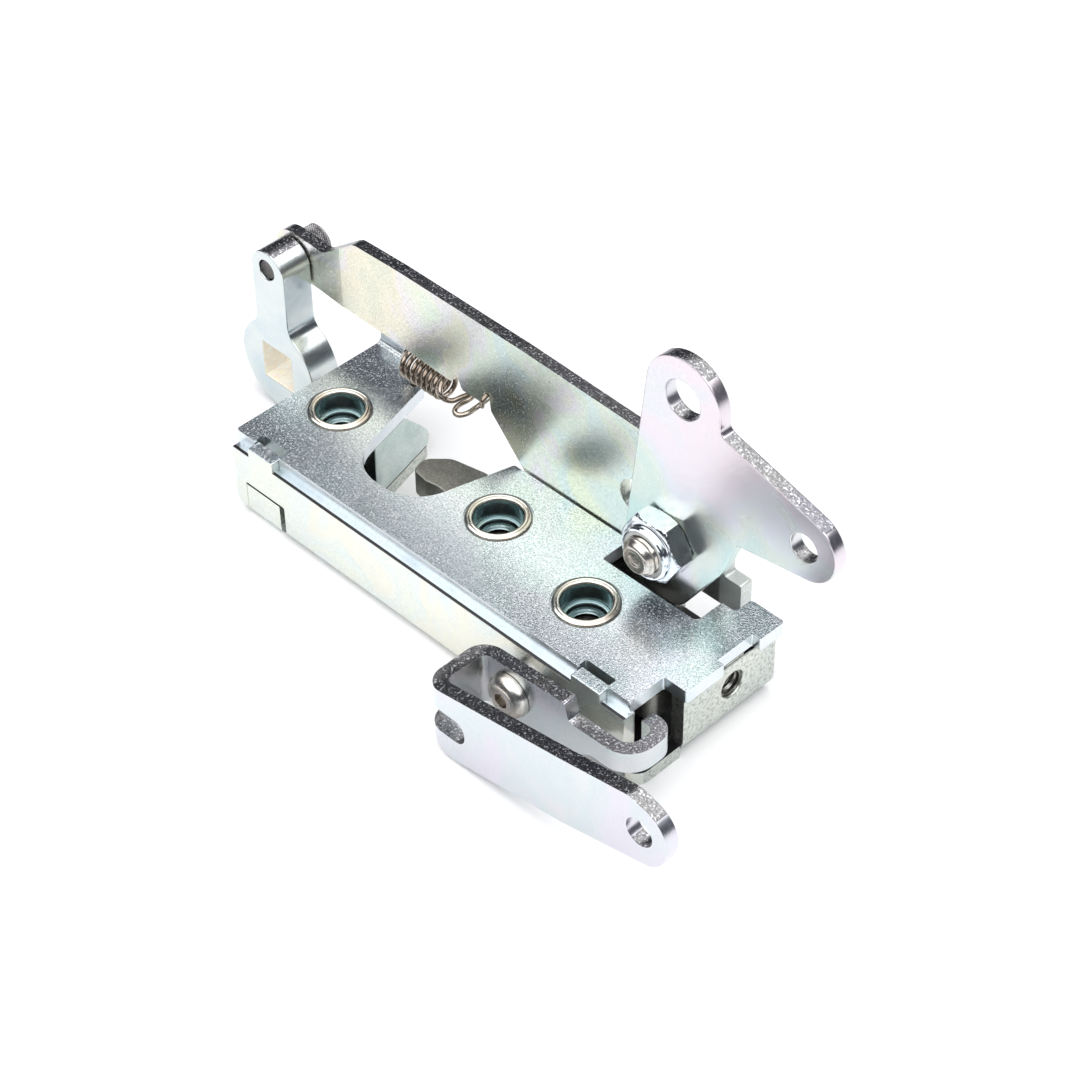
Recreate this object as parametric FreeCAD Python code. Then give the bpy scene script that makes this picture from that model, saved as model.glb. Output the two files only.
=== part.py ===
# Bear claw latch, in millimetres. X runs along the latch, Y towards the open end of its
# mouth, Z away from its mounting face. Outlines are drawn from the front left corner of
# the face plate at the level of the mounting face. At the end every piece is shifted so
# that the part's origin is where the axis of the middle bush meets the mounting face.

import FreeCAD
import Part
import math
import os

os.makedirs("parts", exist_ok=True)
V = FreeCAD.Vector

# sheet, gaps and fits
SHEET = 3.0
PLATE_GAP = 13.0
FACE_LOW = SHEET + PLATE_GAP
FACE_TOP = FACE_LOW + SHEET
RUN = 0.05
SEAT = 0.02
PLAY = 0.1
CLEAR = 0.3
BEND = 1.5

# the housing in plan
PLATE_LEFT = 0.0
PLATE_RIGHT = 114.3
PLATE_BACK = 31.0
MOUTH_LEFT = V(17.0, 35.6, 0)
MOUTH_FRONT = 8.6
MOUTH_FRONT_LEFT = V(24.1, MOUTH_FRONT, 0)
MOUTH_FRONT_RIGHT = V(41.6, MOUTH_FRONT, 0)
MOUTH_RIGHT = V(47.7, PLATE_BACK, 0)
MOUTH_R = 10.0
WALL_FRONT = -1.9
WALL_BACK = WALL_FRONT + SHEET
WALL_LOW = 1.8
WALL_LEFT = 0.6
WALL_RIGHT = 109.0
WALL_TABS = ((5.4, 12.8, 2.5), (95.5, 103.1, 2.4))
TAB_DROP = 0.75
TAB_PLAY = 0.1
BACK_TAB = (4.1, 14.0)
BACK_TAB_TOP = 8.0
FLANGE_OUT = 113.0
FLANGE_Y = (9.8, 34.8)
FLANGE_HOLE_Y = 23.1
FLANGE_HOLE_Z = 9.95
M6_MINOR_R = 2.5
M6_MOUTH_R = 3.15

# the three bushes between the plates
MOUNT_BUSH = V(10.4, 18.5, 0)
ROTOR_BUSH = V(56.4, 18.1, 0)
PAWL_BUSH = V(85.0, 13.1, 0)
BUSH_R = 7.0
SPIGOT_R = 5.8
RIM_R = 6.65
RIM_PROUD = 0.55
RIM_SINK = 0.5
MOUTH_BORE_R = 4.85
M8_MINOR_R = 3.325
M8_DEPTH = 13.4
BORE_FLOOR = 15.0
M8_MAJOR_R = 4.0

# the rotor and the pawl that holds it
ROTOR_LOW = 7.0
ROTOR_THICK = 6.0
ROTOR_HUB_R = 14.0
PAWL_HUB_R = 11.0
STOP_R = 2.0

# the connecting link, crank and bell crank stand upright behind the plates
LINK_FRONT = PLATE_BACK + 0.4
LINK_SHEET = 2.7
LINK_BACK = LINK_FRONT + LINK_SHEET
LINK_NOTCH = V(39.8, 0, 32.6)
EYE_SET = 0.45
EYE = V(-16.8, 0, 36.4)
EYE_R = 5.6
PIN_R = 2.25
PIN_HEAD_R = 3.85
PIN_HEAD_LENGTH = 4.4
GROOVE_COUNT = 24
CRANK_THICK = 7.4
SQUARE = 9.0
HUB = V(-16.0, 0, 11.7)
HUB_R = 11.0
ARM_WIDTH = 9.8
STUD = V(91.8, 0, 30.3)
STUD_R = 4.0
STUD_END = 18.6
LUG_FRONT = LINK_BACK + CLEAR
LUG_BACK = LUG_FRONT + SHEET
LUG_LEFT = 63.2
LUG_STEP = 15.8
BELL_BACK = LINK_FRONT - 1.4
BELL_FRONT = BELL_BACK - SHEET
BELL_TOP_HOLE = V(95.1, 0, 65.35)
BELL_TOP_HOLE_R = 4.1
BELL_SIDE_HOLE = V(124.4, 0, 48.9)
BELL_SIDE_HOLE_R = 3.0
NUT_ACROSS_FLATS = 13.0
NUT_HEX = 4.6
NUT_LENGTH = 6.1
COLLAR_R = 5.7

# the release lever in front of the side wall
WEB_LEFT = 75.8
SCREW = V(WEB_LEFT + 9.9, 0, 10.3)
SCREW_R = 2.5
SCREW_HEAD_R = 4.75
SCREW_HEAD = 2.6
SOCKET = 3.0
LEVER_BUSH_LENGTH = 2.6
INNER_BACK = WALL_FRONT - LEVER_BUSH_LENGTH
INNER_FRONT = INNER_BACK - SHEET
LEVER_GAP = 9.85
OUTER_BACK = INNER_FRONT - LEVER_GAP
OUTER_FRONT = OUTER_BACK - SHEET
TAIL_OUT = 116.1
TAIL_BACK = 4.8
TAIL_END = TAIL_OUT - 6.1
LEVER_HOLE = V(130.4, 0, 17.56)
LEVER_HOLE_R = 3.1
SLOT_Z = (5.9, 11.4)
SLOT_END = WEB_LEFT + 10.8

# the extension spring
WIRE = 1.1
COIL_R = 2.6
COIL_PITCH = 1.57
COIL_TURNS = 7
COIL_START = V(14.8, 33.9, 24.4)

AXES = {"x": V(1, 0, 0), "y": V(0, 1, 0), "z": V(0, 0, 1)}


# a point given by its two coordinates in a plane and the level of that plane
def at(facing, a, b, level):
    places = {"x": V(level, a, b), "y": V(a, level, b), "z": V(a, b, level)}
    return places[facing]


# a closed outline through corners, each one (a, b) or (a, b, rounding radius)
def outline(corners, facing, level):
    turns = []
    count = len(corners)
    for i in range(count):
        a, b, radius = (*corners[i], 0)[:3]
        here = V(a, b, 0)
        if radius == 0:
            turns.append((here, here, here))
            continue
        back = (V(*corners[i - 1][:2], 0) - here).normalize()
        ahead = (V(*corners[(i + 1) % count][:2], 0) - here).normalize()
        half = back.getAngle(ahead) / 2
        reach = radius / math.tan(half)
        centre = here + (back + ahead).normalize() * (radius / math.sin(half))
        middle = centre + (here - centre).normalize() * radius
        turns.append((here + back * reach, middle, here + ahead * reach))
    edges = []
    for i, (start, middle, end) in enumerate(turns):
        points = [at(facing, p.x, p.y, level) for p in (start, middle, end, turns[(i + 1) % count][0])]
        if (end - start).Length > 1e-6:
            edges.append(Part.Arc(*points[:3]).toShape())
        if (points[3] - points[2]).Length > 1e-6:
            edges.append(Part.LineSegment(points[2], points[3]).toShape())
    return Part.Wire(edges)


def slab(corners, low, high, facing="z"):
    return Part.Face(outline(corners, facing, low)).extrude(AXES[facing] * (high - low))


def box(x0, x1, y0, y1, z0, z1):
    return Part.makeBox(x1 - x0, y1 - y0, z1 - z0, V(x0, y0, z0))


def disc(radius, a, b, low, high, facing="z"):
    return Part.makeCylinder(radius, high - low, at(facing, a, b, low), AXES[facing])


def taper(radius, end_radius, a, b, low, high, facing="z"):
    return Part.makeCone(radius, end_radius, high - low, at(facing, a, b, low), AXES[facing])


# the edges of a shape whose centre passes a test
def edges_where(shape, test):
    return [e for e in shape.Edges if test(e.CenterOfMass)]


# a plain ring
def ring(outer, inner, a, b, low, high, facing="z"):
    return disc(outer, a, b, low, high, facing).cut(disc(inner, a, b, low, high, facing))


def mouth_corners():
    return [
        (MOUTH_RIGHT.x, MOUTH_RIGHT.y, 0.6),
        (MOUTH_FRONT_RIGHT.x, MOUTH_FRONT_RIGHT.y, MOUTH_R),
        (MOUTH_FRONT_LEFT.x, MOUTH_FRONT_LEFT.y, MOUTH_R),
        (MOUTH_LEFT.x, MOUTH_LEFT.y, 1.2),
    ]


# the upper plate: a mouth, a rear notch for the bell crank, two front notches for the
# wall's tabs and a small flange turned up at its rear left corner
def face_plate():
    corners = [(PLATE_LEFT, 0, 0.8)]
    for left, right, depth in WALL_TABS:
        corners += [(left, 0), (left, depth, 0.4), (right, depth, 0.4), (right, 0)]
    corners += [
        (108.7, 0, 0.5),
        (108.7, 9.0, 0.5),
        (PLATE_RIGHT, 9.0, 0.5),
        (PLATE_RIGHT, 18.9),
        (112.7, 18.9, 0.3),
        (112.7, 28.4, 0.3),
        (PLATE_RIGHT + 0.4, 28.4, 0.3),
        (PLATE_RIGHT + 0.5, 35.0, 0.8),
        (106.5, 35.0, 0.6),
        (106.5, PLATE_BACK - 0.4, 1.0),
        (103.05, PLATE_BACK - 0.4, 0.5),
        (103.05, 23.7, 1.2),
        (78.8, 23.7, 0.6),
        (78.8, PLATE_BACK, 0.5),
    ]
    corners += mouth_corners()
    corners += [(9.0, 37.7, 2.0), (PLATE_LEFT, 37.7)]
    plate = slab(corners, FACE_LOW, FACE_TOP)
    bend = 37.7 + BEND
    profile = [
        (36.0, FACE_LOW),
        (bend + SHEET, FACE_LOW, BEND + SHEET),
        (bend + SHEET, FACE_TOP + 5.0, 0.4),
        (bend, FACE_TOP + 5.0, 0.4),
        (bend, FACE_TOP, BEND),
        (36.0, FACE_TOP),
    ]
    plate = plate.fuse(slab(profile, PLATE_LEFT, 8.0, "x")).removeSplitter()
    for bush in (MOUNT_BUSH, ROTOR_BUSH, PAWL_BUSH):
        plate = plate.cut(disc(SPIGOT_R + SEAT, bush.x, bush.y, FACE_LOW, FACE_TOP))
        plate = plate.cut(disc(RIM_R + CLEAR, bush.x, bush.y, FACE_TOP - RIM_SINK, FACE_TOP))
    anchor = spring_anchor()
    return plate.cut(disc(WIRE / 2 + 0.35, anchor.x, anchor.y, FACE_LOW, FACE_TOP))


# the lower plate: a tab turned up at the front, an end flange with a threaded hole at
# the right, and a lug at the rear that carries the pivot stud
def back_plate():
    back = LUG_BACK
    corners = [
        (WALL_LEFT, WALL_BACK, 0.8),
        (WALL_RIGHT, WALL_BACK),
        (WALL_RIGHT + CLEAR, WALL_FRONT + 0.2),
        (112.4, WALL_FRONT + 0.2, 3.0),
        (112.4, FLANGE_Y[0], 0.2),
        (FLANGE_OUT - BEND - SHEET, FLANGE_Y[0]),
        (FLANGE_OUT - BEND - SHEET, FLANGE_Y[1]),
        (FLANGE_OUT - BEND - SHEET, back, 2.0),
        (88.0, back),
        (LUG_LEFT, back),
        (49.5, back, 1.0),
    ]
    corners += mouth_corners()[1:3]
    corners += [(MOUTH_LEFT.x, MOUTH_LEFT.y, 1.2), (9.0, 37.0, 2.0), (WALL_LEFT, 37.0, 2.0)]
    plate = slab(corners, 0, SHEET)
    flange = [
        (FLANGE_OUT - 2 * SHEET, 0),
        (FLANGE_OUT, 0, BEND + SHEET),
        (FLANGE_OUT, FACE_LOW - 0.7, 0.3),
        (FLANGE_OUT - SHEET, FACE_LOW - 0.7, 0.3),
        (FLANGE_OUT - SHEET, SHEET, BEND),
        (FLANGE_OUT - 2 * SHEET, SHEET),
    ]
    plate = plate.fuse(slab(flange, FLANGE_Y[0], FLANGE_Y[1], "y"))
    tongue = box(FLANGE_OUT - SHEET, FLANGE_OUT - 0.3, 21.0, 26.2, FACE_LOW - 1.2, FACE_LOW - 0.2)
    tab = [
        (WALL_FRONT, 0, 2.5),
        (2 * SHEET, 0),
        (2 * SHEET, SHEET),
        (WALL_BACK, SHEET, 0.5),
        (WALL_BACK, BACK_TAB_TOP),
        (WALL_FRONT, BACK_TAB_TOP),
    ]
    plate = plate.fuse([tongue, slab(tab, BACK_TAB[0], BACK_TAB[1], "x"), lug()]).removeSplitter()
    for bush in (MOUNT_BUSH, ROTOR_BUSH, PAWL_BUSH):
        plate = plate.cut(disc(SPIGOT_R + SEAT, bush.x, bush.y, 0, SHEET))
    stop = stop_place()
    plate = plate.cut(disc(STOP_R - 0.3 + SEAT, stop.x, stop.y, 0, SHEET))
    plate = plate.cut(disc(M6_MINOR_R, FLANGE_HOLE_Y, FLANGE_HOLE_Z, FLANGE_OUT - 2 * SHEET, FLANGE_OUT, "x"))
    countersink = taper(
        M6_MINOR_R, M6_MOUTH_R, FLANGE_HOLE_Y, FLANGE_HOLE_Z, FLANGE_OUT - 0.65, FLANGE_OUT, "x"
    )
    return plate.cut(countersink)


# the lug: a wall bent up from the lower plate that rises to the stud on the right, with a
# step beside it. Its left end leaves room for the stop pin and the claw
def lug():
    reach = STUD_R + 4.25
    outlines = [
        (LUG_LEFT, SHEET),
        (LUG_LEFT, LUG_STEP, 2.0),
        (75.0, LUG_STEP, 3.0),
        (STUD.x - reach, STUD.z - 2.0, 4.0),
        (STUD.x - reach, STUD.z + reach, reach - 0.1),
        (STUD.x + reach, STUD.z + reach, reach - 0.1),
        (STUD.x + reach, 21.25, 0.8),
        (104.4, 21.25, 0.5),
        (104.4, 13.8, 0.6),
        (88.0, 13.8, 2.0),
        (88.0, SHEET),
    ]
    leg = slab(outlines, LUG_FRONT, LUG_BACK, "y")
    bend = [
        (LUG_FRONT - SHEET, 0),
        (LUG_BACK, 0, SHEET + 0.5),
        (LUG_BACK, SHEET + BEND),
        (LUG_FRONT, SHEET + BEND),
        (LUG_FRONT, SHEET, 0.5),
        (LUG_FRONT - SHEET, SHEET),
    ]
    foot = slab(bend, LUG_LEFT, 88.0, "x")
    whole = leg.fuse(foot).removeSplitter()
    return whole.cut(disc(STUD_R - 0.75 + SEAT, STUD.x, STUD.z, LUG_FRONT, LUG_BACK, "y"))


# the front wall: a strip with two tabs that stand in the face plate's notches and a
# cut-out for the lower plate's tab
def side_wall():
    low = WALL_LOW
    notch = BACK_TAB_TOP + 0.4
    corners = [
        (WALL_LEFT, low, 2.5),
        (BACK_TAB[0] - 0.2, low),
        (BACK_TAB[0] - 0.2, notch, 0.4),
        (BACK_TAB[1] + 1.4, notch, 0.4),
        (BACK_TAB[1] + 1.4, low),
        (WALL_RIGHT, low, 1.0),
        (WALL_RIGHT, FACE_LOW),
    ]
    for left, right, _ in reversed(WALL_TABS):
        top = FACE_TOP - TAB_DROP
        corners += [
            (right - TAB_PLAY, FACE_LOW),
            (right - TAB_PLAY, top, 0.3),
            (left + TAB_PLAY, top, 0.3),
            (left + TAB_PLAY, FACE_LOW),
        ]
    corners.append((WALL_LEFT, FACE_LOW))
    wall = slab(corners, WALL_FRONT, WALL_BACK, "y")
    return wall.cut(disc(SCREW_R + SEAT, SCREW.x, SCREW.z, WALL_FRONT, WALL_BACK, "y"))


# the upright guide along the mouth's left flank, with a sloping rounded rear end
def mouth_guide():
    flank = MOUTH_LEFT - MOUTH_FRONT_LEFT
    corners = [
        (-19.0, SHEET),
        (0.3, SHEET, 1.2),
        (1.2, SHEET + 3.0, 4.0),
        (-2.0, FACE_LOW - 6.2, 4.0),
        (-7.8, FACE_LOW),
        (-19.0, FACE_LOW),
    ]
    guide = slab(corners, -2.5, 0, "x")
    guide.rotate(V(0, 0, 0), V(0, 0, 1), math.degrees(math.atan2(-flank.x, flank.y)))
    guide.translate(MOUTH_LEFT)
    return guide


# a bush riveted into both plates: a stepped bore at the face and a thread below it
def bush(centre):
    x = centre.x
    y = centre.y
    body = disc(BUSH_R, x, y, SHEET, FACE_LOW)
    body = body.fuse(disc(SPIGOT_R, x, y, 0, FACE_TOP))
    rim = disc(RIM_R, x, y, FACE_TOP - RIM_SINK, FACE_TOP + RIM_PROUD)
    top = FACE_TOP + RIM_PROUD
    rim = rim.makeFillet(0.45, edges_where(rim, lambda c: c.z > top - 1e-3))
    body = body.fuse(rim).removeSplitter()
    body = body.cut(taper(MOUTH_BORE_R, MOUTH_BORE_R + 0.5, x, y, top - 0.6, top))
    body = body.cut(disc(MOUTH_BORE_R, x, y, BORE_FLOOR, top))
    body = body.cut(taper(M8_MINOR_R, M8_MAJOR_R, x, y, M8_DEPTH, BORE_FLOOR))
    return body.cut(disc(M8_MINOR_R, x, y, 0, M8_DEPTH))


# the claw: a hub, a kicker that lies across the open mouth, and a hook that swings
# behind the striker
def rotor():
    x = ROTOR_BUSH.x
    y = ROTOR_BUSH.y
    low = ROTOR_LOW
    high = ROTOR_LOW + ROTOR_THICK
    kicker = [
        (x - 27.2, y + 2.6, 1.6),
        (x - 28.3, y + 6.4, 2.6),
        (x - 24.2, y + 10.4, 4.0),
        (x - 15.6, y + 12.2, 2.0),
        (x - 8.0, y + 8.0),
        (x - 6.0, y - 10.0),
        (x - 10.5, y - 5.0, 3.0),
        (x - 17.8, y + 3.2, 6.0),
        (x - 23.0, y + 2.0, 2.0),
    ]
    hook = [
        (x - 8.8, y + 9.0),
        (x - 11.4, y + 22.2, 2.2),
        (x - 3.2, y + 24.6, 2.6),
        (x + 2.4, y + 11.8),
    ]
    claw = slab(kicker, low, high).fuse(slab(hook, low, high))
    claw = claw.fuse(disc(ROTOR_HUB_R, x, y, low, high)).removeSplitter()
    catch = [(x + 15.0, y - 2.5), (x + 11.0, y - 1.0, 0.8), (x + 11.0, y + 3.5, 0.8), (x + 15.0, y + 3.5)]
    claw = claw.cut(slab(catch, low, high))
    return claw.cut(disc(BUSH_R + RUN, x, y, low, high))


# the catch that drops behind the claw's step, with a tail towards the release lever
def pawl():
    x = PAWL_BUSH.x
    y = PAWL_BUSH.y
    low = ROTOR_LOW
    high = ROTOR_LOW + ROTOR_THICK
    nose = [
        (x - 6.0, y - 6.0),
        (x - 13.2, y + 5.5, 1.0),
        (x - 13.2, y + 11.5, 1.2),
        (x - 2.0, y + 10.9),
    ]
    tail = [
        (x + 1.0, y - 8.6),
        (FLANGE_OUT - 2 * SHEET, y - 5.6, 2.5),
        (FLANGE_OUT - 2 * SHEET, y + 0.5, 2.5),
        (x + 4.0, y + 9.0),
    ]
    shape = disc(PAWL_HUB_R, x, y, low, high).fuse([slab(nose, low, high), slab(tail, low, high)])
    return shape.removeSplitter().cut(disc(BUSH_R + RUN, x, y, low, high))


# a loose collar on a bush that keeps the claw or the pawl at its level
def spacer(centre):
    return ring(BUSH_R + 2.5, BUSH_R + SEAT, centre.x, centre.y, SHEET, ROTOR_LOW - PLAY)


# the closed turns of a hidden torsion spring round a bush
def torsion_coil(centre):
    low = ROTOR_LOW + ROTOR_THICK + PLAY
    return ring(BUSH_R + 1.6, BUSH_R + SEAT, centre.x, centre.y, low, FACE_LOW - PLAY)


def stop_place():
    return ROTOR_BUSH + V(3.8 + CLEAR, 15.5, 0)


# the pin that the hook rests against while the mouth is open
def rotor_stop():
    place = stop_place()
    pin = disc(STOP_R - 0.3, place.x, place.y, 0, SHEET)
    return pin.fuse(disc(STOP_R, place.x, place.y, SHEET, FACE_LOW - 1.5)).removeSplitter()


# the long upright link: an eye set back at its left, a notch below for the spring and
# a slot that slides on the stud
def connecting_link():
    z = STUD.z
    slot_low = z - STUD_R - RUN
    slot_high = z + STUD_R + RUN
    corners = [
        (EYE.x - EYE_R, EYE.z + EYE_R, EYE_R - 0.3),
        (EYE.x - EYE_R, EYE.z - EYE_R, EYE_R - 0.3),
        (EYE.x + EYE_R, EYE.z - EYE_R + 0.4),
        (10.0, 30.8, 2.0),
        (29.7, 29.7, 0.4),
        (31.2, 32.8, 0.5),
        (32.8, 29.3, 0.4),
        (LINK_NOTCH.x - 1.1, 29.3, 0.4),
        (LINK_NOTCH.x - 0.7, LINK_NOTCH.z, 0.5),
        (LINK_NOTCH.x + 0.7, LINK_NOTCH.z, 0.5),
        (LINK_NOTCH.x + 1.2, 28.6, 0.4),
        (51.0, 17.6, 3.0),
        (96.0, 16.5, 5.0),
        (98.0, 46.8, 5.0),
        (80.5, 47.5),
        (49.7, 48.8, 20.0),
        (15.6, 49.3, 20.0),
        (2.5, 49.0, 4.0),
        (EYE.x + EYE_R + 3.5, EYE.z + EYE_R - 0.6, 4.0),
    ]
    wide = slab(corners, LINK_FRONT, LINK_BACK + EYE_SET, "y")
    front = LINK_FRONT
    set_back = [
        (EYE.x - 2 * EYE_R, front + EYE_SET),
        (-10.0, front + EYE_SET, 3.0),
        (-2.0, front, 3.0),
        (120.0, front),
        (120.0, LINK_BACK),
        (-2.0, LINK_BACK, 3.0 + LINK_SHEET / 2),
        (-10.0, LINK_BACK + EYE_SET, 3.0 + LINK_SHEET / 2),
        (EYE.x - 2 * EYE_R, LINK_BACK + EYE_SET),
    ]
    link = wide.common(slab(set_back, 0, 60.0, "z"))
    slot = [
        (76.0, slot_low, STUD_R),
        (STUD.x + STUD_R + 0.5, slot_low, STUD_R),
        (STUD.x + STUD_R + 0.5, slot_high, STUD_R),
        (76.0, slot_high, STUD_R),
    ]
    link = link.cut(slab(slot, LINK_FRONT - 1, LINK_BACK + 1, "y"))
    eye = disc(PIN_R + SEAT, EYE.x, EYE.z, LINK_FRONT, LINK_BACK + EYE_SET, "y")
    return link.cut(eye)


# the pin through the link's eye and the crank, with a grooved head behind
def link_pin():
    head_front = LINK_BACK + EYE_SET
    front = LINK_FRONT + EYE_SET - CLEAR - CRANK_THICK + 0.4
    pin = disc(PIN_R, EYE.x, EYE.z, front, head_front + 0.5, "y")
    pin = pin.makeFillet(0.4, edges_where(pin, lambda c: c.y < front + 1e-3))
    head = disc(PIN_HEAD_R, EYE.x, EYE.z, head_front, head_front + PIN_HEAD_LENGTH, "y")
    for i in range(GROOVE_COUNT):
        turn = 2 * math.pi * i / GROOVE_COUNT
        x = EYE.x + PIN_HEAD_R * math.cos(turn)
        z = EYE.z + PIN_HEAD_R * math.sin(turn)
        head = head.cut(disc(0.22, x, z, head_front, head_front + PIN_HEAD_LENGTH, "y"))
    return pin.fuse(head).removeSplitter()


# the thick crank: a square hole for a spindle in its hub and a pin hole in its arm
def crank_arm():
    back = LINK_FRONT + EYE_SET - CLEAR
    front = back - CRANK_THICK
    half = ARM_WIDTH / 2
    middle = EYE.x + 0.25
    arm = [
        (middle - half, HUB.z),
        (middle - half, EYE.z + 4.5, half - 0.1),
        (middle + half, EYE.z + 4.5, half - 0.1),
        (middle + half, HUB.z),
    ]
    crank = slab(arm, front, back, "y").fuse(disc(HUB_R, HUB.x, HUB.z, front, back, "y")).removeSplitter()
    inner = edges_where(crank, lambda c: abs(c.y - (front + back) / 2) < 0.1 and 17 < c.z < 24)
    crank = crank.makeFillet(4.0, inner)
    side = SQUARE / 2
    hole = box(HUB.x - side, HUB.x + side, front, back, HUB.z - side, HUB.z + side)
    return crank.cut(hole).cut(disc(PIN_R + RUN, EYE.x, EYE.z, front, back, "y"))


# the three-lobed bell crank on the stud
def bell_crank():
    top = BELL_TOP_HOLE
    side = BELL_SIDE_HOLE
    corners = [
        (top.x - 7.9, top.z + 9.0, 8.9),
        (top.x + 9.0, top.z + 9.0, 8.9),
        (top.x + 9.0, top.z - 2.8, 2.0),
        (side.x + 7.3, side.z + 5.5, 7.2),
        (side.x + 7.3, side.z - 6.1, 7.1),
        (STUD.x + 17.2, STUD.z + 9.2, 1.5),
        (STUD.x + 13.6, STUD.z - 0.5, 7.0),
        (STUD.x + 3.8, STUD.z - 15.3, 5.0),
        (STUD.x - 11.8, STUD.z - 15.3, 9.0),
    ]
    plate = slab(corners, BELL_FRONT, BELL_BACK, "y")
    for place, radius in ((top, BELL_TOP_HOLE_R), (side, BELL_SIDE_HOLE_R), (STUD, STUD_R + RUN)):
        plate = plate.cut(disc(radius, place.x, place.z, BELL_FRONT, BELL_BACK, "y"))
    return plate


# the threaded stud riveted into the lug
def pivot_stud():
    stud = disc(STUD_R, STUD.x, STUD.z, STUD_END, LUG_FRONT, "y")
    stud = stud.makeChamfer(1.1, edges_where(stud, lambda c: c.y < STUD_END + 1e-3))
    neck = disc(STUD_R - 0.75, STUD.x, STUD.z, LUG_FRONT - 1, LUG_BACK, "y")
    head = disc(STUD_R + 0.6, STUD.x, STUD.z, LUG_BACK, LUG_BACK + 0.9, "y")
    head = head.makeFillet(0.5, edges_where(head, lambda c: c.y > LUG_BACK + 0.8))
    return stud.fuse([neck, head]).removeSplitter()


# the washer between the bell crank and the link
def stud_washer():
    return ring(STUD_R + 4.0, STUD_R + SEAT, STUD.x, STUD.z, BELL_BACK + PLAY, LINK_FRONT - PLAY, "y")


# the hexagon lock nut with its round collar
def lock_nut():
    back = BELL_FRONT - PLAY
    front = back - NUT_LENGTH
    hex_front = back - NUT_HEX
    reach = NUT_ACROSS_FLATS / 2 / math.cos(math.pi / 6)
    corners = []
    for i in range(6):
        turn = math.pi * i / 3
        corners.append((STUD.x + reach * math.cos(turn), STUD.z + reach * math.sin(turn)))
    body = slab(corners, hex_front, back, "y")
    flat = NUT_ACROSS_FLATS / 2
    blank = taper(flat - 0.1, reach + 0.1, STUD.x, STUD.z, hex_front, hex_front + 0.75, "y")
    blank = blank.fuse(disc(reach + 0.1, STUD.x, STUD.z, hex_front + 0.75, back - 0.6, "y"))
    blank = blank.fuse(taper(reach + 0.1, flat, STUD.x, STUD.z, back - 0.6, back, "y"))
    collar = disc(COLLAR_R, STUD.x, STUD.z, front, hex_front + 1.0, "y")
    collar = collar.makeFillet(0.6, edges_where(collar, lambda c: c.y < front + 1e-3))
    nut = body.common(blank).fuse(collar).removeSplitter()
    nut = nut.cut(disc(STUD_R + SEAT, STUD.x, STUD.z, front, back, "y"))
    return nut.cut(disc(STUD_R + 0.9, STUD.x, STUD.z, front, hex_front, "y"))


# the soft ring inside the nut's collar
def nut_insert():
    hex_front = BELL_FRONT - PLAY - NUT_HEX
    front = BELL_FRONT - PLAY - NUT_LENGTH
    outer = STUD_R + 0.9 - SEAT
    return ring(outer, STUD_R + SEAT, STUD.x, STUD.z, front + 0.3, hex_front, "y")


# the bent lever: an outer leg, a web, an inner leg on the screw, and a tail that goes
# round the end of the wall
def release_lever():
    turn = 3.0 + SHEET
    path = [
        (LEVER_HOLE.x + 20, OUTER_FRONT),
        (WEB_LEFT, OUTER_FRONT, 4.5),
        (WEB_LEFT, INNER_BACK, 4.5),
        (TAIL_OUT - SHEET, INNER_BACK, 3.0),
        (TAIL_OUT - SHEET, TAIL_BACK - SHEET, 1.2),
        (TAIL_END, TAIL_BACK - SHEET),
        (TAIL_END, TAIL_BACK),
        (TAIL_OUT, TAIL_BACK, 4.2),
        (TAIL_OUT, INNER_FRONT, turn),
        (WEB_LEFT + SHEET, INNER_FRONT, 1.5),
        (WEB_LEFT + SHEET, OUTER_BACK, 1.5),
        (LEVER_HOLE.x + 20, OUTER_BACK),
    ]
    strip = slab(path, 0, FACE_TOP + 10)
    outer = [
        (WEB_LEFT - 1, 3.9),
        (77.4, 3.2, 3.0),
        (82.0, 0.35, 3.0),
        (111.1, 5.35, 20.0),
        (135.2, 11.2, 6.0),
        (138.8, 22.2, 6.6),
        (128.2, 25.1, 5.0),
        (111.3, 21.75, 20.0),
        (78.3, 16.05),
        (WEB_LEFT - 1, 16.0),
    ]
    inner = [
        (WEB_LEFT - 1, 3.9),
        (101.2, 5.0, 3.0),
        (105.5, 8.9, 4.0),
        (TAIL_OUT + 1, 9.2),
        (TAIL_OUT + 1, 14.1),
        (100.6, 13.6, 1.0),
        (99.6, 17.7, 0.8),
        (78.3, 15.9),
        (WEB_LEFT - 1, 16.0),
    ]
    seam = (OUTER_BACK + INNER_FRONT) / 2
    sides = slab(outer, OUTER_FRONT, seam, "y").fuse(slab(inner, seam, TAIL_BACK, "y"))
    lever = strip.common(sides).removeSplitter()
    slot = [
        (WEB_LEFT - 3, SLOT_Z[0]),
        (SLOT_END, SLOT_Z[0], 2.5),
        (SLOT_END, SLOT_Z[1], 2.5),
        (WEB_LEFT - 3, SLOT_Z[1]),
    ]
    lever = lever.cut(slab(slot, OUTER_FRONT, OUTER_BACK + 1.5, "y"))
    lever = lever.cut(disc(LEVER_HOLE_R, LEVER_HOLE.x, LEVER_HOLE.z, OUTER_FRONT, OUTER_BACK, "y"))
    return lever.cut(disc(SCREW_R + RUN, SCREW.x, SCREW.z, INNER_FRONT, INNER_BACK, "y"))


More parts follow.
